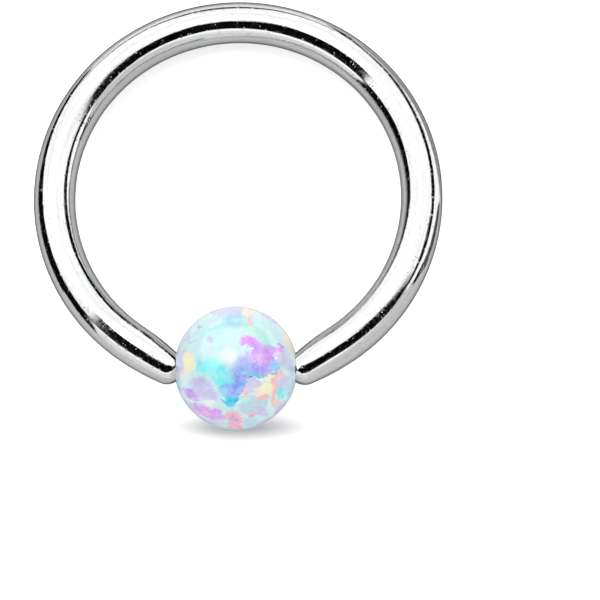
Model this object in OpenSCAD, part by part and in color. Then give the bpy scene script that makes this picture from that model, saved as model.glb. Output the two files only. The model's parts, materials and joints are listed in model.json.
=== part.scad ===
// Captive bead ring for a piercing: an open wire ring whose two tapered ends hold a round bead
// in shallow dimples. It lies on its side, propped up by the bead, with its underside at z = 0.
// Sizes are in millimetres.

/* [Ring] */
// Thickness of the round wire
wire_d = 1.02; // [0.9:0.02:1.2]
// Clear width inside the ring
inner_d = 8; // [6:0.5:12]

/* [Ring ends] */
// Radius of the long curve that narrows each end
taper_r = 6.25; // [3:0.05:8]
// Radius of the rounded nose that closes each end
nose_r = 0.42; // [0.38:0.01:0.44]

/* [Bead] */
// Diameter of the bead
bead_d = 3; // [2.6:0.1:4]
// Depth of the dimple on each side of the bead
dimple_depth = 0.28; // [0.24:0.01:0.4]
// How far the bead's middle lies beyond the noses, away from the ring's middle
bead_drop = 0.015; // [0:0.005:0.06]
// Room to turn between a nose and the wall of its dimple
seat_gap = 0.02; // [0.02:0.01:0.05]

/* [Hidden] */
$fn = 128;

wire_r = wire_d / 2;
bead_r = bead_d / 2;
// From the middle of the ring to the middle of its wire
ring_r = inner_d / 2 + wire_r;

// Each end leaves the round of the ring on its tangent. The nose's middle is this far along it,
// where a ball of the nose's radius just touches the inside of the taper's curve
nose_along = sqrt(pow(taper_r - nose_r, 2) - pow(taper_r - wire_r, 2));
// Where the taper's curve hands over to the nose, along the end
nose_join = nose_along * taper_r / (taper_r - nose_r);

// A dimple is part of a sphere that holds the nose, with room to turn, wherever the bead spins to
dimple_r = nose_r + bead_drop + seat_gap;
// From the middle of the bead to the middle of a dimple's sphere, which is level with the nose
dimple_reach = bead_r - dimple_depth + dimple_r;

// From the middle of the ring to the middle of a nose, and the same measured square to the gap
nose_reach = norm([ring_r, nose_along]);
nose_y = sqrt(pow(nose_reach, 2) - pow(dimple_reach, 2));
// Half of the angle over which the ring's round part is open
gap_angle = asin(dimple_reach / nose_reach) + atan(nose_along / ring_r);
// From the middle of the ring to the middle of the bead
bead_reach = nose_y + bead_drop;

// At rest the ring leans on the bead, which is thicker than the wire
lean = asin((bead_r - wire_r) / (bead_reach + ring_r));
ring_z = wire_r + ring_r * sin(lean);
// Puts the middle of the footprint at the origin
front_y = bead_reach * cos(lean) + bead_r;
back_y = ring_r * cos(lean) + wire_r;
ring_y = (front_y - back_y) / 2;

// Moves a piece from the ring's own plane to where it rests on the floor, bead towards -Y
module at_rest() {
    translate([0, ring_y, ring_z])
        rotate([-lean, 0, 0])
            children();
}

// Half outline of a tapered end: the long curve, then the nose
module end_profile() {
    intersection() {
        translate([wire_r - taper_r, 0])
            circle(r = taper_r);
        square([wire_r, nose_join]);
    }
    intersection() {
        translate([0, nose_along])
            circle(r = nose_r);
        translate([0, nose_join])
            square([nose_r, nose_along + nose_r - nose_join]);
    }
}

// Turns a piece about the ring's middle, from the +X axis to the ring's end beside the gap
module at_end() {
    rotate([0, 0, gap_angle - 90])
        children();
}

// All that lies past the ring's end on the +X side, towards the gap and beyond it
module past_end() {
    at_end()
        translate([0, -2 * ring_r, -wire_d])
            cube([2 * ring_r, 2 * ring_r, 2 * wire_d]);
}

// The round part of the ring, with the gap cut out of it
module round_wire() {
    difference() {
        rotate_extrude()
            translate([ring_r, 0])
                circle(r = wire_r);
        intersection() {
            past_end();
            mirror([1, 0, 0])
                past_end();
        }
    }
}

// The end on the +X side of the gap. It starts face to face with the round part
module tapered_end() {
    at_end()
        translate([ring_r, 0, 0])
            rotate([90, 0, 0])
                rotate_extrude()
                    end_profile();
}

module ring() {
    color([0.78, 0.79, 0.8])
        at_rest() {
            round_wire();
            tapered_end();
            mirror([1, 0, 0])
                tapered_end();
        }
}

// Half outline of the bead, which is turned about the line through both dimples
module bead_profile() {
    difference() {
        circle(r = bead_r);
        translate([-bead_d, -bead_d])
            square([bead_d, 2 * bead_d]);
        for (side = [-1, 1])
            translate([0, side * dimple_reach])
                circle(r = dimple_r);
    }
}

module bead() {
    color([0.66, 0.86, 0.93])
        at_rest()
            translate([0, -bead_reach, 0])
                rotate([0, 90, 0])
                    rotate_extrude()
                        bead_profile();
}

ring();
bead();
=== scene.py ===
import json
import math

import bpy
from bpy.props import FloatProperty, FloatVectorProperty, IntProperty, PointerProperty
from bpy.types import Operator, Panel, PropertyGroup
from mathutils import Matrix, Vector


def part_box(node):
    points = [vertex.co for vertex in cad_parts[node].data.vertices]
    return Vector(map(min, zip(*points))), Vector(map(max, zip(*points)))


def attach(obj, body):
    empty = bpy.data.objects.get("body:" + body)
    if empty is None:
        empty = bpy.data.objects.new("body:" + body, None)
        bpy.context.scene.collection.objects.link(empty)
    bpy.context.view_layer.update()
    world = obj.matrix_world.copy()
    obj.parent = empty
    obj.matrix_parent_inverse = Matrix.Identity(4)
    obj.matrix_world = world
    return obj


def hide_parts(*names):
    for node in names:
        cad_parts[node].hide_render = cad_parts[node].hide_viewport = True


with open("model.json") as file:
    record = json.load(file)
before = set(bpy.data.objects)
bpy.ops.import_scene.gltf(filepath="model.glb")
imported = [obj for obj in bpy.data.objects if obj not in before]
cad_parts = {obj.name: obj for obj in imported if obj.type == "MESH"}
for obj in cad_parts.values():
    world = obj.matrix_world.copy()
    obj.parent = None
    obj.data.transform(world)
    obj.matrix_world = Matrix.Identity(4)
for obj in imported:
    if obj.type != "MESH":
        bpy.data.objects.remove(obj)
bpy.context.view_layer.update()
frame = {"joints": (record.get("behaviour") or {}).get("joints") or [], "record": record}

bl_info = {
    "name": "Captive Bead Ring",
    "version": (1, 0, 0),
    "blender": (4, 5, 0),
    "location": "View3D > Sidebar > Bead Ring",
    "description": "Builds a steel captive bead ring, its opal bead and the studio they are shown in",
    "category": "Object",
}

MM = 0.001
RIGHT = Vector((1, 0, 0))

# Places and sizes that the frame gives. The ring's middle lies on the line from the wire's far side
# to the bead's middle, and both of those are named in the record.
FAR_SIDE = Vector(next(m for m in frame["record"]["mounts"] if m["name"] == "piercing_seat")["pos_m"])
BEAD_MIDDLE = Vector(next(j for j in frame["joints"] if j["name"] == "bead_spin")["pos_m"])
WIRE_R = FAR_SIDE.z
BEAD_R = BEAD_MIDDLE.z
RING_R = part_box("ring")[1].x - WIRE_R
TO_FAR_SIDE = (FAR_SIDE - BEAD_MIDDLE).normalized()
RING_AXIS = RIGHT.cross(TO_FAR_SIDE)
RING_MIDDLE = FAR_SIDE - TO_FAR_SIDE * RING_R


# Settings

class WireSettings(PropertyGroup):
    """Shape and finish of the wire ring"""

    taper_radius: FloatProperty(
        name="Taper radius", description="Radius of the long curve that narrows each end",
        default=6.25 * MM, unit="LENGTH", precision=5)
    nose_radius: FloatProperty(
        name="Nose radius", description="Radius of the rounded tip of each end",
        default=0.42 * MM, unit="LENGTH", precision=5)
    sides: IntProperty(name="Sides", description="Faces around the wire", default=72, min=12)
    step: FloatProperty(
        name="Step", description="Length of a face along the wire",
        default=0.04 * MM, unit="LENGTH", precision=5)
    colour: FloatVectorProperty(
        name="Colour", description="Reflected colour of the steel",
        default=(0.515, 0.52, 0.525), subtype="COLOR", min=0, max=1)
    roughness: FloatProperty(
        name="Roughness", description="How far the polish blurs a reflection",
        default=0.035, subtype="FACTOR", min=0, max=1)


class BeadSettings(PropertyGroup):
    """Shape and finish of the bead"""

    dimple_depth: FloatProperty(
        name="Dimple depth", description="Depth of the dimple on each side of the bead",
        default=0.28 * MM, unit="LENGTH", precision=5)
    drop: FloatProperty(
        name="Drop", description="How far the bead's middle lies beyond the noses of the wire",
        default=0.015 * MM, unit="LENGTH", precision=6)
    seat_gap: FloatProperty(
        name="Seat gap", description="Room between a nose and the wall of its dimple",
        default=0.02 * MM, unit="LENGTH", precision=6)
    segments: IntProperty(name="Segments", description="Faces around the bead", default=176, min=24)
    # Painted glow: emission in the opal's own colour, which lifts it evenly as if it were lit from inside
    glow: FloatProperty(
        name="Glow", description="How much of its own colour the opal gives back from inside",
        default=0.7, min=0)
    roughness: FloatProperty(
        name="Roughness", description="How far the polish blurs a reflection",
        default=0.10, subtype="FACTOR", min=0, max=1)


class StudioSettings(PropertyGroup):
    """Camera, floor and light"""

    tilt: FloatProperty(
        name="Tilt", description="Angle between the ring's axis and the line of sight",
        default=math.radians(14.81), subtype="ANGLE")
    swing: FloatProperty(
        name="Swing", description="Turn of the line of sight round the ring's axis, off the bead's side",
        default=math.radians(3.45), subtype="ANGLE")
    roll: FloatProperty(
        name="Roll", description="Turn of the picture, which puts the bead left of straight down",
        default=math.radians(0.47), subtype="ANGLE")
    distance: FloatProperty(
        name="Distance", description="From the camera to the ring", default=100 * MM, unit="LENGTH")
    view_width: FloatProperty(
        name="View width", description="Width of the picture where the ring is",
        default=14.739 * MM, unit="LENGTH", precision=5)
    offset_right: FloatProperty(
        name="Offset right", description="From the ring's middle to the picture's middle, to the right",
        default=1.521 * MM, unit="LENGTH", precision=5)
    offset_down: FloatProperty(
        name="Offset down", description="From the ring's middle to the picture's middle, downwards",
        default=2.529 * MM, unit="LENGTH", precision=5)
    floor_colour: FloatVectorProperty(
        name="Floor colour", description="Colour of the plain floor",
        default=(0.86, 0.86, 0.86), subtype="COLOR", min=0, max=1)
    floor_glow: FloatProperty(
        name="Floor glow", description="Light that washes out the floor's shadows for the camera alone",
        default=0.52, min=0)
    softbox: FloatProperty(
        name="Softbox", description="Brightness of the large overhead light", default=1.98, min=0)
    key: FloatProperty(
        name="Key light", description="Brightness of the small light by the camera", default=4.0, min=0)
    card: FloatProperty(
        name="Card", description="Brightness of the pale card on the bead's side", default=1.05, min=0)


# Nodes

def add_node(tree, kind, sockets=None, **settings):
    """Adds a node, with its settings first. A socket takes a value, or the output of another node"""
    node = tree.nodes.new(kind)
    for name, value in settings.items():
        setattr(node, name, value)
    for name, value in (sockets or {}).items():
        if isinstance(value, bpy.types.NodeSocket):
            tree.links.new(value, node.inputs[name])
        else:
            node.inputs[name].default_value = value
    return node


def math_node(tree, operation, first, second=0.0, third=0.0):
    """Output of a Math node"""
    node = add_node(tree, "ShaderNodeMath", {0: first, 1: second, 2: third}, operation=operation)
    return node.outputs[0]


def vector_node(tree, operation, *values):
    """Output of a Vector Math node, which is a number where the operation measures something"""
    node = add_node(tree, "ShaderNodeVectorMath", dict(enumerate(values)), operation=operation)
    return node.outputs["Value" if operation in ("DISTANCE", "DOT_PRODUCT", "LENGTH") else "Vector"]


def noise(tree, vector, scale, detail):
    """Outputs of a Noise node: a number, and three more as a colour"""
    node = add_node(tree, "ShaderNodeTexNoise", {"Vector": vector, "Scale": scale, "Detail": detail})
    return node.outputs[0], node.outputs[1]


def shards(tree, vector, scale):
    """A random colour for each of the shards that space is cut into"""
    return add_node(tree, "ShaderNodeTexVoronoi", {"Vector": vector, "Scale": scale}).outputs["Color"]


def channels(tree, colour):
    """The three numbers that a colour is made of"""
    return add_node(tree, "ShaderNodeSeparateColor", {0: colour}).outputs


def ramp(tree, value, low, high):
    """0 up to low and 1 from high on, with a smooth rise between. It falls where high is below low"""
    limits = {"From Min": min(low, high), "From Max": max(low, high)}
    node = add_node(
        tree, "ShaderNodeMapRange", {"Value": value, **limits}, interpolation_type="SMOOTHSTEP")
    if high < low:
        node.inputs["To Min"].default_value = 1
        node.inputs["To Max"].default_value = 0
    return node.outputs["Result"]


def mix(tree, factor, first, second, kind="Color"):
    """Output of a Mix node for colours, or for plain numbers where kind is Float"""
    node = tree.nodes.new("ShaderNodeMix")
    node.data_type = {"Color": "RGBA", "Float": "FLOAT"}[kind]
    values = {"Factor_Float": factor, f"A_{kind}": first, f"B_{kind}": second}
    for socket in node.inputs:
        value = values.get(socket.identifier)
        if isinstance(value, bpy.types.NodeSocket):
            tree.links.new(value, socket)
        elif value is not None:
            socket.default_value = value
    return next(s for s in node.outputs if s.identifier == f"Result_{kind}")


def blend(tree, factor, first, second):
    """Output of a Mix node for plain numbers"""
    return mix(tree, factor, first, second, "Float")


def new_material(name):
    """A material with an empty tree, and its Principled shader"""
    material = bpy.data.materials.new(name)
    material.use_nodes = True
    tree = material.node_tree
    tree.nodes.clear()
    shader = tree.nodes.new("ShaderNodeBsdfPrincipled")
    out = tree.nodes.new("ShaderNodeOutputMaterial")
    tree.links.new(shader.outputs["BSDF"], out.inputs["Surface"])
    return material, tree, shader


def add_bump(tree, shader, height, strength, distance):
    """Raises the shader's surface by a height from 0 to 1 times the distance"""
    bump = add_node(
        tree, "ShaderNodeBump", {"Height": height, "Strength": strength, "Distance": distance})
    tree.links.new(bump.outputs["Normal"], shader.inputs["Normal"])


# Values of the polish group until a material gives its own. A unit is one of its coordinates' units,
# and a pit's size is a share of the room from one pit to the next.
POLISH_VALUES = {
    "Lines per unit": 14.0, "Line length": 1.5, "Line height": 0.1, "Pits per unit": 7.0, "Pit size": 0.12}
# Random numbers up to the first have no pit, and from the second on a deep one
PIT_CHANCE = (0.25, 0.8)
# Where a pit's wall starts and where its floor does, as shares of its size
PIT_WALL = (1.0, 0.2)


def polish_group():
    """Marks that polishing leaves: fine lines along X of the coordinates, and a few tiny pits"""
    name = "Polish marks"
    if name in bpy.data.node_groups:
        return bpy.data.node_groups[name]
    group = bpy.data.node_groups.new(name, "ShaderNodeTree")
    socket = group.interface.new_socket
    socket(name="Vector", in_out="INPUT", socket_type="NodeSocketVector")
    for label, default in POLISH_VALUES.items():
        socket(name=label, in_out="INPUT", socket_type="NodeSocketFloat").default_value = default
    for label in ("Height", "Lines"):
        socket(name=label, in_out="OUTPUT", socket_type="NodeSocketFloat")
    given = group.nodes.new("NodeGroupInput").outputs
    end = group.nodes.new("NodeGroupOutput")
    along = math_node(group, "DIVIDE", 1.0, given["Line length"])
    across = given["Lines per unit"]
    stretch = add_node(group, "ShaderNodeCombineXYZ", {"X": along, "Y": across, "Z": across})
    stretched = vector_node(group, "MULTIPLY", given["Vector"], stretch.outputs[0])
    lines = add_node(
        group, "ShaderNodeTexNoise", {"Vector": stretched, "Scale": 1.0, "Detail": 3.0, "Roughness": 0.6})
    pits = add_node(
        group, "ShaderNodeTexVoronoi",
        {"Vector": given["Vector"], "Scale": given["Pits per unit"], "Randomness": 1.0})
    rare = ramp(group, channels(group, pits.outputs["Color"])[0], *PIT_CHANCE)
    away = math_node(group, "DIVIDE", pits.outputs["Distance"], given["Pit size"])
    pit = math_node(group, "MULTIPLY", rare, ramp(group, away, *PIT_WALL))
    sunk = math_node(group, "MULTIPLY", pit, -1.0)
    height = math_node(group, "MULTIPLY_ADD", lines.outputs[0], given["Line height"], sunk)
    group.links.new(height, end.inputs["Height"])
    group.links.new(lines.outputs[0], end.inputs["Lines"])
    return group


def polish_marks(tree, vector, values):
    """Outputs of the polish group, placed with a material's own values"""
    node = add_node(tree, "ShaderNodeGroup", {"Vector": vector, **values}, node_tree=polish_group())
    return node.outputs


# Meshes

def new_piece(name, points, faces, material, node_name):
    """A smooth mesh that stands for a CAD node and rides where the node rides"""
    mesh = bpy.data.meshes.new(name)
    mesh.from_pydata(points, [], faces)
    mesh.polygons.foreach_set("use_smooth", [True] * len(mesh.polygons))
    mesh.materials.append(material)
    mesh.validate()
    piece = bpy.data.objects.new(name, mesh)
    bpy.context.scene.collection.objects.link(piece)
    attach(piece, node_name)
    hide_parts(node_name)
    return piece


def add_vectors(piece, name, vectors):
    """Stores a vector for each point of a piece, for its material"""
    attribute = piece.data.attributes.new(name, "FLOAT_VECTOR", "POINT")
    attribute.data.foreach_set("vector", [value for vector in vectors for value in vector])


def band_faces(rows, sides):
    """Quads between each row of points and the next, where each row is a closed loop"""
    faces = []
    for low in range(0, (rows - 1) * sides, sides):
        high = low + sides
        for s in range(sides):
            after = (s + 1) % sides
            faces.append((low + s, low + after, high + after, high + s))
    return faces


def capped_faces(rows, sides):
    """Closed tube of rows of points, with one more point at each end"""
    first = rows * sides
    last = first + 1
    top = (rows - 1) * sides
    faces = band_faces(rows, sides)
    faces += [(first, (s + 1) % sides, s) for s in range(sides)]
    faces += [(last, top + s, top + (s + 1) % sides) for s in range(sides)]
    return faces


def end_shape(wire):
    """(distance along the end, radius there) from the start of the taper to just short of the tip"""
    taper = wire.taper_radius
    nose = wire.nose_radius
    nose_along = math.sqrt((taper - nose) ** 2 - (taper - WIRE_R) ** 2)
    join = nose_along * taper / (taper - nose)
    shape = []
    taper_steps = math.ceil(join / wire.step)
    for i in range(1, taper_steps + 1):
        along = join * i / taper_steps
        shape.append((along, WIRE_R - taper + math.sqrt(taper ** 2 - along ** 2)))
    start_angle = math.asin((join - nose_along) / nose)
    nose_steps = 24
    for i in range(1, nose_steps):
        angle = start_angle + (math.pi / 2 - start_angle) * i / nose_steps
        shape.append((nose_along + nose * math.sin(angle), nose * math.cos(angle)))
    return shape, nose_along


def gap_angle(wire, bead, nose_along):
    """Half of the angle over which the round part of the ring is open"""
    dimple_radius = wire.nose_radius + bead.drop + bead.seat_gap
    dimple_reach = BEAD_R - bead.dimple_depth + dimple_radius
    nose_reach = math.hypot(RING_R, nose_along)
    return math.asin(dimple_reach / nose_reach) + math.atan(nose_along / RING_R)


def wire_sections(wire, bead):
    """(middle, outward direction, radius, distance along the wire) of each section, from tip to tip"""
    shape, nose_along = end_shape(wire)
    tip = nose_along + wire.nose_radius
    gap = gap_angle(wire, bead, nose_along)
    arc = 2 * (math.pi - gap)
    arc_steps = math.ceil(arc * RING_R / wire.step)

    def outward(angle):
        return RIGHT * math.sin(angle) - TO_FAR_SIDE * math.cos(angle)

    def forward(angle):
        return RIGHT * math.cos(angle) + TO_FAR_SIDE * math.sin(angle)

    start = RING_MIDDLE + outward(gap) * RING_R
    end = RING_MIDDLE + outward(-gap) * RING_R
    sections = []
    for along, radius in reversed(shape):
        sections.append((start - forward(gap) * along, outward(gap), radius, tip - along))
    for i in range(arc_steps + 1):
        angle = gap + arc * i / arc_steps
        middle = RING_MIDDLE + outward(angle) * RING_R
        sections.append((middle, outward(angle), WIRE_R, tip + arc * RING_R * i / arc_steps))
    for along, radius in shape:
        middle = end + forward(-gap) * along
        sections.append((middle, outward(-gap), radius, tip + arc * RING_R + along))
    tips = (start - forward(gap) * tip, end + forward(-gap) * tip)
    return sections, tips


def build_wire(wire, bead):
    """The open ring of round wire with its two tapered, rounded ends"""
    sections, tips = wire_sections(wire, bead)
    points = []
    grain = []
    for middle, out, radius, along in sections:
        for s in range(wire.sides):
            angle = 2 * math.pi * s / wire.sides
            points.append(middle + (out * math.cos(angle) + RING_AXIS * math.sin(angle)) * radius)
            grain.append((along / MM, WIRE_R / MM * math.cos(angle), WIRE_R / MM * math.sin(angle)))
    points += tips
    grain += [(0, 0, 0), (sections[-1][3] / MM, 0, 0)]
    faces = capped_faces(len(sections), wire.sides)
    piece = new_piece("wire_ring", points, faces, steel_material(wire), "ring")
    add_vectors(piece, "grain", grain)


def bead_profile(wire, bead):
    """(distance along the bead's axis, radius) from the bottom of one dimple to that of the other"""
    dimple_radius = wire.nose_radius + bead.drop + bead.seat_gap
    dimple_reach = BEAD_R - bead.dimple_depth + dimple_radius
    mouth = (dimple_reach ** 2 + BEAD_R ** 2 - dimple_radius ** 2) / (2 * dimple_reach)
    ball_angle = math.acos(mouth / BEAD_R)
    dimple_angle = math.acos((dimple_reach - mouth) / dimple_radius)
    dimple_steps = 20
    half_steps = 64
    half = []
    for i in range(1, dimple_steps):
        angle = dimple_angle * i / dimple_steps
        half.append((dimple_reach - dimple_radius * math.cos(angle), dimple_radius * math.sin(angle)))
    for i in range(half_steps + 1):
        angle = ball_angle + (math.pi / 2 - ball_angle) * i / half_steps
        half.append((BEAD_R * math.cos(angle), BEAD_R * math.sin(angle)))
    return half + [(-x, r) for x, r in reversed(half[:-1])], BEAD_R - bead.dimple_depth


def build_bead(wire, bead):
    """The bead, turned about the line through its two dimples"""
    profile, tip = bead_profile(wire, bead)
    offsets = []
    for x, radius in profile:
        for s in range(bead.segments):
            angle = 2 * math.pi * s / bead.segments
            offsets.append(Vector((x, -radius * math.cos(angle), radius * math.sin(angle))))
    offsets += [RIGHT * tip, -RIGHT * tip]
    points = [BEAD_MIDDLE + offset for offset in offsets]
    faces = capped_faces(len(profile), bead.segments)
    piece = new_piece("opal_bead", points, faces, opal_material(bead), "bead")
    back, right, up = studio_axes(bpy.context.scene.bead_ring_studio)
    places = [(point - BEAD_MIDDLE) / BEAD_R for point in points]
    turned = [(place.dot(right), place.dot(up), place.dot(back)) for place in places]
    add_vectors(piece, "opal_place", turned)
    # The steel doesn't mirror the bead
    piece.visible_glossy = False


# Finishes

# Marks on the steel, which are in mm: fine streaks and pits, drawing lines along the wire, and scuffs
# across it
STREAKS = {
    "Lines per unit": 14.0, "Line length": 0.12, "Line height": 0.22, "Pits per unit": 12.0, "Pit size": 0.3}
DRAWING_LINES = {"Lines per unit": 11.0, "Line length": 2.5}
SCUFFS = {"Lines per unit": 9.0, "Line length": 0.04}
# Noise up to the first number is wholly inside a streak or line, and from the second on wholly outside
STREAK_RANGE = (0.30, 0.48)
DRAWING_RANGE = (0.36, 0.54)
# Noise up to the first number has no scuff, and from the second on a strong one
SCUFF_RANGE = (0.48, 0.66)
MARK_HEIGHT = 0.0025 * MM
# Share of the steel's colour that is left in a mark
MARK_TONE = 0.78
# Roughness in and between the streaks and in the drawing lines, and what a scuff adds to it, all as
# shares of the roughness in the settings
IN_STREAK = 0.7
BETWEEN_STREAKS = 1.2
IN_DRAWING_LINE = 3.0
SCUFF_ADDS = 3.3
# How much of a reflection is left at a low angle
LOW_ANGLE_TINT = 0.35


def steel_material(wire):
    """Mirror-polished steel with streaks, drawing lines, scuffs and a few pits"""
    material, tree, shader = new_material("polished_steel")
    grain = add_node(tree, "ShaderNodeAttribute", attribute_name="grain").outputs["Vector"]
    streaks = polish_marks(tree, grain, STREAKS)
    drawn = polish_marks(tree, grain, DRAWING_LINES)["Lines"]
    scuffs = ramp(tree, polish_marks(tree, grain, SCUFFS)["Lines"], *SCUFF_RANGE)
    add_bump(tree, shader, math_node(tree, "ADD", streaks["Height"], drawn), 1.0, MARK_HEIGHT)

    off_streaks = ramp(tree, streaks["Lines"], *STREAK_RANGE)
    off_drawn = ramp(tree, drawn, *DRAWING_RANGE)
    off_marks = blend(tree, 0.5, off_streaks, off_drawn)
    tone = [channel * MARK_TONE for channel in wire.colour] + [1]
    tree.links.new(mix(tree, off_marks, tone, [*wire.colour, 1]), shader.inputs["Base Color"])

    rough = blend(tree, off_streaks, IN_STREAK * wire.roughness, BETWEEN_STREAKS * wire.roughness)
    rough = blend(tree, off_drawn, IN_DRAWING_LINE * wire.roughness, rough)
    rough = math_node(tree, "MULTIPLY_ADD", scuffs, SCUFF_ADDS * wire.roughness, rough)
    tree.links.new(rough, shader.inputs["Roughness"])
    shader.inputs["Metallic"].default_value = 1
    shader.inputs["Specular Tint"].default_value = (LOW_ANGLE_TINT, LOW_ANGLE_TINT, LOW_ANGLE_TINT, 1)
    return material


# Colours that the opal shows in the studio's light, from 0 to 255
PALETTE = {
    "ice": (212, 248, 251), "pool": (196, 248, 246), "sky": (175, 228, 250),
    "aqua": (142, 250, 255), "azure": (135, 203, 254), "lagoon": (60, 226, 248),
    "periwinkle": (154, 183, 255), "lilac": (190, 194, 255), "iris": (186, 168, 255),
    "violet": (214, 167, 255), "orchid": (234, 160, 252), "lavender": (211, 216, 247),
    "mauve": (210, 206, 245), "mist": (192, 227, 242), "mint": (198, 248, 232),
    "peach": (255, 238, 222), "lemon": (255, 252, 208), "coral": (255, 200, 202),
    "rose": (252, 178, 206), "dusk": (190, 178, 226), "white": (252, 255, 255),
    # The pale colour after white is for the painted highlight under the key light's reflection
    "painted_highlight": (234, 250, 250), "shell": (214, 212, 244), "deep": (112, 158, 206),
    "blush": (234, 158, 250),
}

# The larger flakes of colour on the side that faces the camera: how far right and up, half of the
# length and half of the width, all as shares of the bead's radius, the turn in degrees, and the
# colour. Each lies over the ones before it.
FLAKES = (
    (-0.10, 0.93, 0.40, 0.08, 0, "lavender"), (0.00, 0.77, 0.20, 0.11, 10, "sky"),
    (-0.81, 0.49, 0.06, 0.08, 0, "lavender"), (-0.83, 0.25, 0.10, 0.07, 0, "lavender"),
    (-0.92, 0.00, 0.07, 0.30, 0, "lavender"), (-0.36, 0.60, 0.22, 0.10, 10, "pool"),
    (0.53, 0.79, 0.16, 0.05, -38, "lavender"), (0.20, 0.91, 0.11, 0.08, -20, "peach"),
    (0.24, 0.77, 0.04, 0.05, 0, "coral"), (0.18, 0.70, 0.09, 0.06, -20, "mint"),
    (0.42, 0.52, 0.28, 0.10, -28, "mint"), (0.54, 0.44, 0.08, 0.07, 0, "pool"),
    (0.25, 0.43, 0.17, 0.11, -20, "orchid"), (0.45, 0.20, 0.25, 0.22, -20, "violet"),
    (0.40, 0.20, 0.14, 0.13, 20, "blush"), (0.13, 0.06, 0.20, 0.14, 20, "lilac"),
    (0.42, 0.00, 0.16, 0.09, -20, "iris"), (0.63, 0.04, 0.08, 0.10, -30, "azure"),
    (0.10, -0.14, 0.24, 0.18, 20, "periwinkle"), (0.33, -0.10, 0.17, 0.07, -10, "azure"),
    (-0.45, 0.05, 0.22, 0.13, -8, "aqua"), (-0.22, -0.08, 0.20, 0.14, -25, "aqua"),
    (-0.32, -0.20, 0.17, 0.10, -20, "aqua"), (-0.04, -0.36, 0.17, 0.13, -10, "periwinkle"),
    (-0.20, -0.33, 0.08, 0.07, 0, "azure"), (-0.08, -0.50, 0.15, 0.06, -28, "lagoon"),
    (-0.10, -0.63, 0.16, 0.05, -15, "pool"), (-0.53, -0.27, 0.21, 0.15, -20, "mauve"),
    (-0.40, -0.40, 0.14, 0.10, -20, "mauve"), (-0.70, -0.40, 0.21, 0.06, -28, "violet"),
    (-0.61, -0.47, 0.10, 0.035, -35, "orchid"), (-0.56, -0.53, 0.16, 0.035, -12, "sky"),
    (-0.42, -0.52, 0.09, 0.04, -5, "white"), (-0.45, -0.69, 0.32, 0.09, -24, "orchid"),
    (-0.62, -0.60, 0.12, 0.04, -30, "iris"), (-0.42, -0.67, 0.15, 0.05, -24, "blush"),
    (-0.28, -0.77, 0.13, 0.05, -15, "violet"), (-0.25, -0.89, 0.18, 0.05, -12, "lavender"),
    (0.30, -0.57, 0.26, 0.15, 15, "mist"), (0.34, -0.24, 0.11, 0.08, 30, "shell"),
    (0.25, -0.33, 0.07, 0.07, 0, "shell"), (0.14, -0.38, 0.075, 0.045, 10, "coral"),
    (0.15, -0.50, 0.09, 0.06, 10, "mint"), (0.78, 0.16, 0.11, 0.18, 10, "lavender"),
    (0.88, 0.02, 0.07, 0.12, 0, "lavender"), (0.71, 0.33, 0.07, 0.05, 15, "orchid"),
    (0.81, 0.46, 0.06, 0.10, 30, "peach"), (0.90, 0.30, 0.04, 0.12, 15, "peach"),
    (0.78, -0.25, 0.11, 0.13, 0, "lavender"), (0.60, -0.13, 0.15, 0.05, 8, "lemon"),
    (0.71, -0.11, 0.06, 0.06, 0, "coral"), (0.64, -0.28, 0.07, 0.15, 0, "coral"),
    (0.64, -0.52, 0.08, 0.11, 10, "coral"), (0.40, -0.36, 0.08, 0.09, 0, "peach"),
    (0.51, -0.32, 0.11, 0.10, 0, "lemon"), (0.43, -0.46, 0.10, 0.05, 0, "coral"),
    (0.76, -0.40, 0.07, 0.08, 0, "aqua"), (0.38, -0.69, 0.14, 0.07, -15, "mauve"),
    (0.27, -0.74, 0.06, 0.045, -20, "rose"), (0.25, -0.86, 0.14, 0.09, 0, "sky"),
    (-0.02, -0.82, 0.17, 0.14, 0, "rose"), (-0.03, -0.82, 0.09, 0.035, 38, "dusk"),
    (-0.16, -0.87, 0.05, 0.05, 0, "mint"), (-0.75, 0.10, 0.11, 0.13, 25, "lemon"),
    (-0.81, -0.06, 0.06, 0.09, 15, "peach"), (-0.565, 0.70, 0.045, 0.02, 25, "dusk"),
    (-0.41, 0.48, 0.05, 0.06, 0, "mauve"), (-0.33, 0.42, 0.04, 0.03, 0, "peach"),
    (-0.68, 0.43, 0.08, 0.015, 12, "mauve"), (0.25, 0.29, 0.06, 0.015, 10, "white"),
    (0.42, -0.15, 0.14, 0.014, -5, "white"), (0.24, -0.22, 0.10, 0.014, 50, "white"),
    (0.10, -0.44, 0.05, 0.014, 45, "white"), (0.03, -0.56, 0.07, 0.014, 40, "white"),
    (0.64, 0.18, 0.014, 0.08, 25, "white"), (-0.70, -0.49, 0.10, 0.014, -30, "white"),
    # The flake at -0.12, 0.22 is a painted highlight, which widens the key light's reflection on the bead
    (-0.12, 0.22, 0.15, 0.12, 20, "painted_highlight"), (-0.72, -0.66, 0.18, 0.06, -45, "lavender"),
    (-0.45, -0.86, 0.18, 0.05, -28, "mist"), (0.02, -0.95, 0.13, 0.045, 0, "rose"),
    (0.45, -0.86, 0.16, 0.06, 28, "lavender"), (0.73, -0.66, 0.15, 0.06, 48, "mauve"),
    (0.90, -0.38, 0.14, 0.05, 67, "mist"), (-0.93, -0.28, 0.12, 0.05, -72, "sky"),
    (0.56, -0.06, 0.12, 0.012, 14, "deep"), (0.28, -0.17, 0.09, 0.010, 40, "deep"),
    (-0.64, -0.47, 0.13, 0.010, -32, "dusk"), (0.12, -0.33, 0.06, 0.010, 60, "deep"),
)

# The colours at random on the sides and the back
BACK_COLOURS = (
    "ice", "aqua", "pool", "violet", "lavender", "ice", "periwinkle", "mauve", "pool", "mint",
    "azure", "orchid", "mist", "peach", "sky", "coral", "mist", "lemon", "lilac", "lavender",
)
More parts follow.
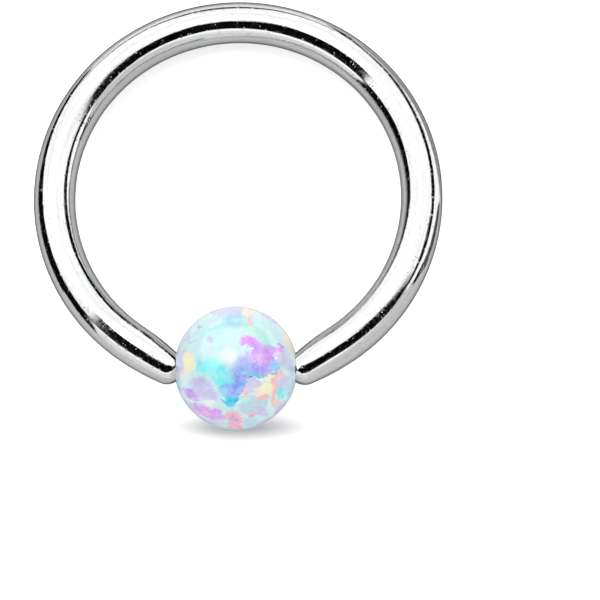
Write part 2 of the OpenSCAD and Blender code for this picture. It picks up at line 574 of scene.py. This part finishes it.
# Light that falls on the bead, and the sheen of its polish, where 1 is white
LIGHT_ON_BEAD = 1.86
SHEEN_ON_BEAD = 0.06

# Colours whose flakes blend softly into their neighbours, and those with frayed edges. The edges of
# the rest are crisp.
SOFT_FLAKES = ("aqua", "azure", "blush", "painted_highlight", "iris", "lilac", "mint", "periwinkle", "pool", "sky")
FRAYED_FLAKES = ("coral", "lavender", "lemon", "mauve", "peach", "rose")
# How much of a flake the fade at its edge takes
SOFT_FADE = 1.9
FRAYED_FADE = 1.3
CRISP_FADE = 0.9
# How strongly the bright rims of crisp flakes show, and what share of that is left on frayed ones
RIM_STRENGTH = 0.7
FRAYED_RIM = 0.5
# The higher, the thinner the rims
RIM_SHARPNESS = 4.0

# How fine each pattern in the opal is, per radius of the bead, and how far it shifts the flakes' places
DRIFTS = ((2.6, 0.14), (9.0, 0.05))
FINE_SHARDS = ((17.0, 0.035), (34.0, 0.018))
SHARD_SCALE = 7.0
SHARD_SHIFT = 0.07
# Patches of the opal that have rims and seams
PATCH_SCALE = 3.0
PATCH_RANGE = (0.46, 0.62)
# Flakes at random, and the parts of the body between them that stay bare
BACK_SCALE = 3.4
BARE_SCALE = 1.7
BARE_RANGE = (0.50, 0.56)
# How far in front of the bead's middle the flakes at random give way to the others
FRONT_RANGE = (-0.05, 0.12)
# How far the hue and its strength wander, and what they start from
PLAY_SCALE = 5.0
HUE_PLAY = (0.14, 0.43)
STRENGTH_PLAY = (0.75, 0.6)
# Small shards that are a little paler
PALE_SCALE = 22.0
PALE_SHARE = 0.2
# Bright seams between the shards
SEAM_WIDTH = 0.035
SEAM_STRENGTH = 0.55
# The polish: its refraction, and its marks per radius of the bead
OPAL_IOR = 1.5
OPAL_MARKS = {
    "Lines per unit": 9.0, "Line length": 0.4, "Line height": 1.0, "Pits per unit": 9.0, "Pit size": 0.10}
OPAL_BUMP = 0.05
OPAL_MARK_HEIGHT = 0.004 * MM
# Roughness beside and in the marks, as shares of the roughness in the settings
OPAL_SMOOTH = 0.8
OPAL_MARKED = 1.2


def linear(share):
    """Light value of a screen value from 0 to 1"""
    return share / 12.92 if share <= 0.04045 else ((share + 0.055) / 1.055) ** 2.4


def opal_colour(name):
    """Surface colour that shows as the palette's colour once it is lit"""
    lit = [linear(channel / 255) for channel in PALETTE[name]]
    return (*(min(1.0, max(0.0, (channel - SHEEN_ON_BEAD) / LIGHT_ON_BEAD)) for channel in lit), 1)


def flake_group():
    """One flake of colour, laid over the colour below it"""
    name = "Flake"
    if name in bpy.data.node_groups:
        return bpy.data.node_groups[name]
    group = bpy.data.node_groups.new(name, "ShaderNodeTree")
    socket = group.interface.new_socket
    for label in ("Place", "Along", "Across"):
        socket(name=label, in_out="INPUT", socket_type="NodeSocketVector")
    for label in ("Rim", "Fade"):
        socket(name=label, in_out="INPUT", socket_type="NodeSocketFloat")
    for label in ("Below", "Colour"):
        socket(name=label, in_out="INPUT", socket_type="NodeSocketColor")
    socket(name="Colour", in_out="OUTPUT", socket_type="NodeSocketColor")
    given = group.nodes.new("NodeGroupInput").outputs
    end = group.nodes.new("NodeGroupOutput")
    along = vector_node(group, "DOT_PRODUCT", given["Place"], given["Along"])
    across = vector_node(group, "DOT_PRODUCT", given["Place"], given["Across"])
    away = math_node(group, "MULTIPLY_ADD", along, along, math_node(group, "MULTIPLY", across, across))
    # 1 inside the flake and 0 outside, with its half way line where away is 1
    faded = math_node(group, "DIVIDE", math_node(group, "SUBTRACT", 1.0, away), given["Fade"])
    mask = ramp(group, faded, -0.5, 0.5)
    flake = mix(group, mask, given["Below"], given["Colour"])
    # 1 half way across the edge, and 0 on either side of it
    edge = math_node(group, "MULTIPLY", math_node(group, "MULTIPLY_ADD", mask, -4.0, 4.0), mask)
    rim = math_node(group, "MULTIPLY", math_node(group, "POWER", edge, RIM_SHARPNESS), given["Rim"])
    group.links.new(mix(group, rim, flake, opal_colour("white")), end.inputs["Colour"])
    return group


def shift_place(tree, place, colour, shift):
    """The place, moved by up to half of shift each way along each axis, as a random colour says"""
    centred = vector_node(tree, "SUBTRACT", colour, (0.5, 0.5, 0.5))
    return vector_node(tree, "MULTIPLY_ADD", centred, (shift, shift, shift), place)


def flat_place(tree, place):
    """(x, y, 1) of a place on the bead"""
    spot = add_node(tree, "ShaderNodeSeparateXYZ", {0: place}).outputs
    flat = add_node(tree, "ShaderNodeCombineXYZ", {"X": spot["X"], "Y": spot["Y"], "Z": 1.0})
    return flat.outputs[0]


def flake_axis(right, up, angle, size):
    """Vector whose product with (x, y, 1) is how far x, y lies from a flake's middle, as a share of size"""
    x = math.cos(angle) / size
    y = math.sin(angle) / size
    return x, y, -(right * x + up * y)


def opal_material(bead):
    """Opal: jagged flakes of soft colour in a pale blue body, under a clear polish, with a painted glow"""
    material, tree, shader = new_material("opal")
    place = add_node(tree, "ShaderNodeAttribute", attribute_name="opal_place").outputs["Vector"]

    # Drifts shift the flakes' places smoothly. Each shard of the body then shifts its own part of
    # them further, which makes their edges jagged.
    drifted = place
    for scale, shift in DRIFTS:
        drifted = shift_place(tree, drifted, noise(tree, place, scale, detail=1.0)[1], shift)
    frayed = drifted
    for scale, shift in FINE_SHARDS:
        frayed = shift_place(tree, frayed, shards(tree, place, scale), shift)
    jagged = shift_place(tree, frayed, shards(tree, place, SHARD_SCALE), SHARD_SHIFT)
    soft_place = flat_place(tree, drifted)
    frayed_place = flat_place(tree, frayed)
    crisp_place = flat_place(tree, jagged)
    patch = ramp(tree, noise(tree, place, PATCH_SCALE, detail=2.0)[0], *PATCH_RANGE)
    rim = math_node(tree, "MULTIPLY", patch, RIM_STRENGTH)
    frayed_rim = math_node(tree, "MULTIPLY", rim, FRAYED_RIM)
    front = opal_colour("ice")
    for right, up, length, width, turn, name in FLAKES:
        angle = math.radians(turn)
        if name in SOFT_FLAKES:
            edge = {"Place": soft_place, "Fade": SOFT_FADE, "Rim": 0.0}
        elif name in FRAYED_FLAKES:
            edge = {"Place": frayed_place, "Fade": FRAYED_FADE, "Rim": frayed_rim}
        else:
            edge = {"Place": crisp_place, "Fade": CRISP_FADE, "Rim": rim}
        flake = add_node(
            tree, "ShaderNodeGroup",
            {"Along": flake_axis(right, up, angle, length),
             "Across": flake_axis(right, up, angle + math.pi / 2, width),
             "Below": front, "Colour": opal_colour(name), **edge},
            node_tree=flake_group())
        front = flake.outputs["Colour"]

    # The sides and the back have flakes at random, in the same colours
    pick = channels(tree, shards(tree, jagged, BACK_SCALE))[0]
    colours = add_node(tree, "ShaderNodeValToRGB", {"Fac": pick})
    colours.color_ramp.interpolation = "CONSTANT"
    stops = colours.color_ramp.elements
    while len(stops) < len(BACK_COLOURS):
        stops.new(1.0)
    for i, (stop, name) in enumerate(zip(stops, BACK_COLOURS)):
        stop.position = i / len(BACK_COLOURS)
        stop.color = opal_colour(name)
    bare = ramp(tree, noise(tree, jagged, BARE_SCALE, detail=1.0)[0], *BARE_RANGE)
    back = mix(tree, bare, colours.outputs[0], opal_colour("ice"))
    forward = add_node(tree, "ShaderNodeSeparateXYZ", {0: jagged}).outputs["Z"]
    colour = mix(tree, ramp(tree, forward, *FRONT_RANGE), back, front)

    # The play of colour: within a flake the hue and its strength wander a little
    play = channels(tree, noise(tree, place, PLAY_SCALE, detail=3.0)[1])
    hue = math_node(tree, "MULTIPLY_ADD", play[0], *HUE_PLAY)
    strength = math_node(tree, "MULTIPLY_ADD", play[1], *STRENGTH_PLAY)
    played = add_node(
        tree, "ShaderNodeHueSaturation", {"Hue": hue, "Saturation": strength, "Color": colour})
    pale = math_node(tree, "MULTIPLY", channels(tree, shards(tree, place, PALE_SCALE))[0], PALE_SHARE)
    colour = mix(tree, pale, played.outputs[0], opal_colour("white"))

    # Thin bright seams between shards
    seam = add_node(
        tree, "ShaderNodeTexVoronoi", {"Vector": jagged, "Scale": SHARD_SCALE}, feature="DISTANCE_TO_EDGE")
    seams = math_node(tree, "MULTIPLY", ramp(tree, seam.outputs["Distance"], SEAM_WIDTH, 0.0), patch)
    seams = math_node(tree, "MULTIPLY", seams, SEAM_STRENGTH)
    colour = mix(tree, seams, colour, opal_colour("white"))
    tree.links.new(colour, shader.inputs["Base Color"])

    # The painted glow, which lifts the opal's colour evenly: the polish keeps some of it in at the rim, and
    # none of it colours the floor
    kept_in = add_node(tree, "ShaderNodeFresnel", {"IOR": OPAL_IOR}).outputs[0]
    on_floor = add_node(tree, "ShaderNodeLightPath").outputs["Is Diffuse Ray"]
    unseen = math_node(tree, "MAXIMUM", kept_in, on_floor)
    tree.links.new(mix(tree, unseen, colour, (0, 0, 0, 1)), shader.inputs["Emission Color"])
    shader.inputs["Emission Strength"].default_value = bead.glow

    marks = polish_marks(tree, place, OPAL_MARKS)
    add_bump(tree, shader, marks["Height"], OPAL_BUMP, OPAL_MARK_HEIGHT)
    rough = blend(tree, marks["Lines"], OPAL_SMOOTH * bead.roughness, OPAL_MARKED * bead.roughness)
    tree.links.new(rough, shader.inputs["Roughness"])
    return material


# Studio

# Width of the camera's film in mm, and the range that it sees, as shares of its distance from the ring
FILM_WIDTH = 36
CLIP_RANGE = (0.01, 100)


def studio_axes(studio):
    """The line of sight, and the picture's right and up directions"""
    side = RIGHT * math.sin(studio.swing) - TO_FAR_SIDE * math.cos(studio.swing)
    back = RING_AXIS * math.cos(studio.tilt) + side * math.sin(studio.tilt)
    up = (TO_FAR_SIDE - back * TO_FAR_SIDE.dot(back)).normalized()
    up = Matrix.Rotation(studio.roll, 3, back) @ up
    return back, up.cross(back), up


def build_camera(studio):
    """The camera, at the photo's angle to the ring"""
    back, right, up = studio_axes(studio)
    data = bpy.data.cameras.new("camera")
    data.sensor_width = FILM_WIDTH
    data.lens = FILM_WIDTH * studio.distance / studio.view_width
    data.clip_start, data.clip_end = (share * studio.distance for share in CLIP_RANGE)
    camera = bpy.data.objects.new("camera", data)
    bpy.context.scene.collection.objects.link(camera)
    aim = RING_MIDDLE + right * studio.offset_right - up * studio.offset_down
    turn = Matrix((right, up, back)).transposed().to_4x4()
    camera.matrix_world = Matrix.Translation(aim + back * studio.distance) @ turn
    bpy.context.scene.camera = camera


# Half of the floor's side in metres, and the floor's finish
FLOOR_HALF = 2.0
FLOOR_ROUGHNESS = 0.6
FLOOR_SHINE = 0.2
# The painted shadow under the bead and in front of it, where the wash is held back and the floor's
# colour is darkened: the middle and the reach of each part, and the shares of the reach where the wash
# sets in and where it is full
CONTACT = (BEAD_MIDDLE.x, BEAD_MIDDLE.y, 0)
CONTACT_REACH = (1.45 * MM, 1.45 * MM, MM)
CONTACT_RANGE = (0.5, 1.0)
SHADOW_MIDDLE = (BEAD_MIDDLE.x, BEAD_MIDDLE.y - 1.28 * MM, 0)
SHADOW_REACH = (2.5 * MM, 0.40 * MM, MM)
SHADOW_RANGE = (0.0, 1.05)
# Share of the floor's colour that is left in the painted shadow
SHADOW_SHADE = 0.9


def floor_share(tree, middle, reach):
    """How far a place on the floor is from a middle, as a share of the reach along each axis"""
    place = add_node(tree, "ShaderNodeTexCoord").outputs["Object"]
    beside = vector_node(tree, "SUBTRACT", place, middle)
    return vector_node(tree, "LENGTH", vector_node(tree, "DIVIDE", beside, reach))


def build_floor(studio):
    """A plain pale floor under the ring, with its shadows washed out away from the bead and a painted shadow
    by it
    """
    mesh = bpy.data.meshes.new("floor")
    corners = [(x * FLOOR_HALF, y * FLOOR_HALF, 0) for x, y in ((-1, -1), (1, -1), (1, 1), (-1, 1))]
    mesh.from_pydata(corners, [], [(0, 1, 2, 3)])
    material, tree, shader = new_material("floor_paper")
    shader.inputs["Roughness"].default_value = FLOOR_ROUGHNESS
    shader.inputs["Specular IOR Level"].default_value = FLOOR_SHINE
    # Painted shadow: under the bead and in front of it the floor's colour is darkened and the wash held back
    under = ramp(tree, floor_share(tree, CONTACT, CONTACT_REACH), *CONTACT_RANGE)
    in_front = ramp(tree, floor_share(tree, SHADOW_MIDDLE, SHADOW_REACH), *SHADOW_RANGE)
    clear = math_node(tree, "MINIMUM", in_front, under)
    shade = [channel * SHADOW_SHADE for channel in studio.floor_colour] + [1]
    tree.links.new(mix(tree, clear, shade, [*studio.floor_colour, 1]), shader.inputs["Base Color"])
    camera_ray = add_node(tree, "ShaderNodeLightPath").outputs["Is Camera Ray"]
    wash = math_node(tree, "MULTIPLY", clear, camera_ray)
    tree.links.new(mix(tree, wash, (0, 0, 0, 1), (1, 1, 1, 1)), shader.inputs["Emission Color"])
    shader.inputs["Emission Strength"].default_value = studio.floor_glow
    mesh.materials.append(material)
    floor = bpy.data.objects.new("floor", mesh)
    bpy.context.scene.collection.objects.link(floor)


# Cards that lie on the floor and only show as reflections: the brightness, and the corners in mm
FLOOR_CARDS = {
    "card_far": (1.7, ((-7, 7.4), (3.0, 7.4), (3.2, 7.9), (150, 376), (-300, 400))),
    "flag_far": (0.0, ((3.2, 7.9), (4.1, 7.5), (193, 355), (151, 375))),
    "card_right": (2.0, (
        (7.0, 0.9), (9.9, 1.15), (60, 4.3), (400, 27), (400, 400), (40, 45), (8.5, 7.5),
        (9.5, 4.8), (7.7, 1.9))),
    "shade_right": (0.6, (
        (6.4, 1.0), (7.0, 0.9), (7.7, 1.9), (9.5, 4.8), (8.5, 7.5), (5.2, 8.6), (4.0, 6.0))),
    "flag_right": (0.12, (
        (7.3, 0.8), (8.6, -2.0), (9.6, -2.3), (60, -14), (400, -92), (400, 25), (60, 4.2),
        (9.9, 1.1))),
    "flag_left": (0.0, (
        (-400, -120), (-13.8, -4.9), (-13.2, 0), (-12.3, 3.3), (-8.6, 5.0), (-5.6, 5.5), (-7, 8),
        (-400, 385))),
}
# Each card lies this much above the one before it
CARD_LIFT = 0.01 * MM
CIRCLE_SIDES = 96
# How far the dark cards under the ring and the bead reach past them, and their brightness. These cards
# are painted shade, which darkens the floor's reflection next to the ring and the bead
SHADE_REACH = 0.85 * MM
INNER_SHADE_REACH = 0.3 * MM
RING_SHADE = 0.55
BEAD_SHADE = 0.45


def circle(middle, radius):
    """Corners of a round outline on the floor"""
    corners = []
    for s in range(CIRCLE_SIDES):
        angle = 2 * math.pi * s / CIRCLE_SIDES
        corners.append((middle.x + radius * math.cos(angle), middle.y + radius * math.sin(angle)))
    return corners


def build_cards():
    """Bright and dark cards on the floor round and under the ring, which only show as reflections. The dark
    ones under the ring and the bead are painted shade
    """
    cards = {
        name: ([(x * MM, y * MM) for x, y in corners], [range(len(corners))], brightness)
        for name, (brightness, corners) in FLOOR_CARDS.items()
    }
    ring_edges = circle(RING_MIDDLE, RING_R - WIRE_R - INNER_SHADE_REACH)
    ring_edges += circle(RING_MIDDLE, RING_R + WIRE_R + SHADE_REACH)
    cards["ring_shade"] = (ring_edges, band_faces(2, CIRCLE_SIDES), RING_SHADE)
    cards["bead_shade"] = (circle(BEAD_MIDDLE, BEAD_R + SHADE_REACH), [range(CIRCLE_SIDES)], BEAD_SHADE)
    for layer, (name, (corners, faces, brightness)) in enumerate(cards.items(), 1):
        mesh = bpy.data.meshes.new(name)
        mesh.from_pydata([(x, y, layer * CARD_LIFT) for x, y in corners], [], faces)
        material, tree, shader = new_material(name)
        shader.inputs["Base Color"].default_value = (0, 0, 0, 1)
        shader.inputs["Specular IOR Level"].default_value = 0
        shader.inputs["Emission Color"].default_value = (1, 1, 1, 1)
        shader.inputs["Emission Strength"].default_value = brightness
        mesh.materials.append(material)
        card = bpy.data.objects.new(name, mesh)
        bpy.context.scene.collection.objects.link(card)
        card.visible_camera = False
        card.visible_diffuse = False
        card.visible_shadow = False


# The studio's lights as an equal-area map of the sky. The line of sight is in the middle, right and
# up are as in the picture, and 1 is the point behind the ring. A straight mirror shows at half of its
# own angle, so the steel shows a light where its surface faces the light's own place on the map.
# Corners run anticlockwise.
SIDE_STRIP = ((0.40, -0.10), (0.58, -0.092), (0.95, 0.22), (1.2, 1.2), (0.2, 1.2), (0.2, 0.0))
SIDE_LINE = (
    (0.42, -0.09), (0.515, 0.0), (0.58, 0.1), (0.615, 0.2), (0.608, 0.3), (0.57, 0.4), (0.52, 0.5),
    (0.468, 0.6), (0.41, 0.7), (0.35, 0.79), (-0.1, 1.2), (-0.3, 0.3),
)
FAR_STRIP = ((0.28, 0.60), (0.2, 1.2), (-0.6, 1.2), (-0.40, 0.60))
FAR_LINE = (
    (0.28, 0.5), (0.275, 0.752), (0.0, 0.752), (-0.285, 0.727), (-0.47, 0.667), (-0.54, 0.60),
    (-0.4, 0.4),
)
SOFTBOX = (
    (-0.42, -0.15), (0.36, -0.03), (0.39, 0.02), (0.433, 0.1), (0.465, 0.2), (0.463, 0.3),
    (0.42, 0.4), (0.37, 0.5), (0.318, 0.6), (0.258, 0.683), (0.0, 0.683), (-0.28, 0.65),
    (-0.435, 0.592), (-0.495, 0.545), (-0.542, 0.48), (-0.565, 0.40), (-0.562, 0.33),
    (-0.548, 0.24), (-0.53, 0.15), (-0.50, 0.05), (-0.465, -0.04),
)
FRONT_CARD = (
    (-0.455, -0.165), (-0.95, -1.07), (1.2, -1.2), (1.2, -0.45), (0.76, -0.19), (0.58, -0.095),
    (0.45, -0.07),
)
CARD_EDGE = (
    (-0.455, -0.165), (-0.49, -0.23), (-0.34, -0.335), (-0.18, -0.395), (0.0, -0.41), (0.16, -0.36),
    (0.31, -0.25), (0.42, -0.14), (0.3, 0.0),
)
FRONT_GAP = (
    (-0.455, -0.165), (-0.30, -0.262), (-0.15, -0.308), (0.0, -0.318), (0.15, -0.278),
    (0.30, -0.20), (0.42, -0.115), (0.46, -0.04), (0.43, 0.0), (0.14, 0.13), (-0.16, 0.145),
)
GAP_EDGE = ((0.14, 0.12), (0.39, 0.0), (0.41, 0.04), (0.30, 0.09))
SIDE_GAP = ((0.57, -0.10), (0.72, -0.21), (0.80, -0.05), (0.80, 0.06))
LENS_LIGHT = ((-0.01, 0.205), 0.145)
KEY_LIGHT = ((-0.10, 0.21), 0.085)
# Light that is left in the line at the far side, on the edge of the front gap, and in every gap
FAR_LINE_LIGHT = 0.08
GAP_EDGE_LIGHT = 0.5
STRAY_LIGHT = 0.003
# How much brighter the front card is on its left, and where on the map it falls to its own light
CARD_LEFT = 1.3
CARD_RANGE = (0.0, 0.4)
# Height of the horizon, and the share of the lights that is left below it
HORIZON_HEIGHT = 0.03
HORIZON_SHADE = 0.55
# Half of the width over which an edge fades
EDGE = 0.010
LENS_EDGE = 0.020
SOFT_EDGE = 0.03


def map_area(tree, place, corners, soft):
    """1 inside a straight-sided shape on the map and 0 outside"""
    inside = None
    for (x0, y0), (x1, y1) in zip(corners, corners[1:] + corners[:1]):
        length = math.hypot(x1 - x0, y1 - y0)
        side = ((y0 - y1) / length, (x1 - x0) / length, ((y1 - y0) * x0 - (x1 - x0) * y0) / length)
        depth = vector_node(tree, "DOT_PRODUCT", place, side)
        inside = depth if inside is None else math_node(tree, "MINIMUM", inside, depth)
    return ramp(tree, inside, -soft, soft)


def map_disc(tree, place, disc, soft):
    """1 inside a round light on the map and 0 outside"""
    (x, y), radius = disc
    away = vector_node(tree, "DISTANCE", place, (x, y, 1))
    return ramp(tree, away, radius + soft, radius - soft)


def sky_map(tree, studio):
    """The place on the map of each direction, with 1 as its third number, and the direction's height"""
    direction = add_node(tree, "ShaderNodeTexCoord").outputs["Generated"]
    back, right, up = (vector_node(tree, "DOT_PRODUCT", direction, axis) for axis in studio_axes(studio))
    # A little over 2, so that nothing is divided by 0 at the point behind the ring
    size = math_node(tree, "SQRT", math_node(tree, "MULTIPLY_ADD", back, 2.0, 2.0001))
    x = math_node(tree, "DIVIDE", right, size)
    y = math_node(tree, "DIVIDE", up, size)
    place = add_node(tree, "ShaderNodeCombineXYZ", {"X": x, "Y": y, "Z": 1.0})
    height = add_node(tree, "ShaderNodeSeparateXYZ", {0: direction}).outputs["Z"]
    return place.outputs[0], height


def build_sky(studio):
    """The lights round the ring: a softbox overhead, a strip beside it, a pale card and dark gaps"""
    world = bpy.data.worlds.new("studio")
    world.use_nodes = True
    tree = world.node_tree
    tree.nodes.clear()
    bpy.context.scene.world = world
    place, height = sky_map(tree, studio)
    right = add_node(tree, "ShaderNodeSeparateXYZ", {0: place}).outputs["X"]
    card = blend(tree, ramp(tree, right, *CARD_RANGE), studio.card * CARD_LEFT, studio.card)
    horizon = ramp(tree, height, HORIZON_HEIGHT + EDGE, HORIZON_HEIGHT - EDGE)

    # Each light or gap covers the ones before it
    level = 0.0
    for mask, brightness in (
            (map_area(tree, place, SIDE_STRIP, EDGE), studio.softbox),
            (map_area(tree, place, SIDE_LINE, EDGE), 0.0),
            (map_area(tree, place, FAR_STRIP, EDGE), studio.softbox),
            (map_area(tree, place, FAR_LINE, EDGE), FAR_LINE_LIGHT),
            (map_area(tree, place, SOFTBOX, EDGE), studio.softbox),
            (map_area(tree, place, FRONT_CARD, EDGE), card),
            (map_area(tree, place, CARD_EDGE, SOFT_EDGE), studio.softbox),
            (map_area(tree, place, GAP_EDGE, SOFT_EDGE), GAP_EDGE_LIGHT),
            (map_area(tree, place, FRONT_GAP, EDGE), 0.0),
            (map_area(tree, place, SIDE_GAP, EDGE), 0.0),
            (map_disc(tree, place, LENS_LIGHT, LENS_EDGE), studio.softbox),
            (map_disc(tree, place, KEY_LIGHT, SOFT_EDGE), studio.key)):
        level = blend(tree, mask, level, brightness)
    level = math_node(tree, "MULTIPLY", level, blend(tree, horizon, 1.0, HORIZON_SHADE))
    level = math_node(tree, "ADD", level, STRAY_LIGHT)
    light = add_node(tree, "ShaderNodeCombineColor", {0: level, 1: level, 2: level}).outputs[0]

    # The camera itself sees white past the floor
    camera_ray = add_node(tree, "ShaderNodeLightPath").outputs["Is Camera Ray"]
    shown = mix(tree, camera_ray, light, (1, 1, 1, 1))
    background = add_node(tree, "ShaderNodeBackground", {"Color": shown, "Strength": 1.0})
    out = tree.nodes.new("ShaderNodeOutputWorld")
    tree.links.new(background.outputs[0], out.inputs["Surface"])


# Operators

class BEADRING_OT_build_studio(Operator):
    """Set up the camera, the floor and the light"""

    bl_idname = "bead_ring.build_studio"
    bl_label = "Build studio"

    def execute(self, context):
        studio = context.scene.bead_ring_studio
        context.scene.view_settings.view_transform = "Standard"
        build_camera(studio)
        build_floor(studio)
        build_cards()
        build_sky(studio)
        return {"FINISHED"}


class BEADRING_OT_build_wire(Operator):
    """Build the open steel ring"""

    bl_idname = "bead_ring.build_wire"
    bl_label = "Build wire ring"

    def execute(self, context):
        scene = context.scene
        build_wire(scene.bead_ring_wire, scene.bead_ring_bead)
        return {"FINISHED"}


class BEADRING_OT_build_bead(Operator):
    """Build the opal bead"""

    bl_idname = "bead_ring.build_bead"
    bl_label = "Build opal bead"

    def execute(self, context):
        scene = context.scene
        build_bead(scene.bead_ring_wire, scene.bead_ring_bead)
        return {"FINISHED"}


class BEADRING_PT_sidebar(Panel):
    """Lists the pieces and their settings"""

    bl_idname = "BEADRING_PT_sidebar"
    bl_label = "Captive Bead Ring"
    bl_space_type = "VIEW_3D"
    bl_region_type = "UI"
    bl_category = "Bead Ring"

    def draw(self, context):
        for operator, settings in PANEL_ROWS:
            box = self.layout.box()
            box.operator(operator.bl_idname)
            group = getattr(context.scene, settings)
            for name in type(group).__annotations__:
                box.prop(group, name)


PANEL_ROWS = (
    (BEADRING_OT_build_studio, "bead_ring_studio"),
    (BEADRING_OT_build_wire, "bead_ring_wire"),
    (BEADRING_OT_build_bead, "bead_ring_bead"),
)
SETTINGS = {
    "bead_ring_studio": StudioSettings,
    "bead_ring_wire": WireSettings,
    "bead_ring_bead": BeadSettings,
}
CLASSES = (*SETTINGS.values(), *(row[0] for row in PANEL_ROWS), BEADRING_PT_sidebar)


def register():
    for cls in CLASSES:
        bpy.utils.register_class(cls)
    for name, cls in SETTINGS.items():
        setattr(bpy.types.Scene, name, PointerProperty(type=cls))


def unregister():
    for name in SETTINGS:
        delattr(bpy.types.Scene, name)
    for cls in reversed(CLASSES):
        bpy.utils.unregister_class(cls)


def main():
    register()
    bpy.ops.bead_ring.build_studio()
    bpy.ops.bead_ring.build_wire()
    bpy.ops.bead_ring.build_bead()


if __name__ == "__main__":
    main()
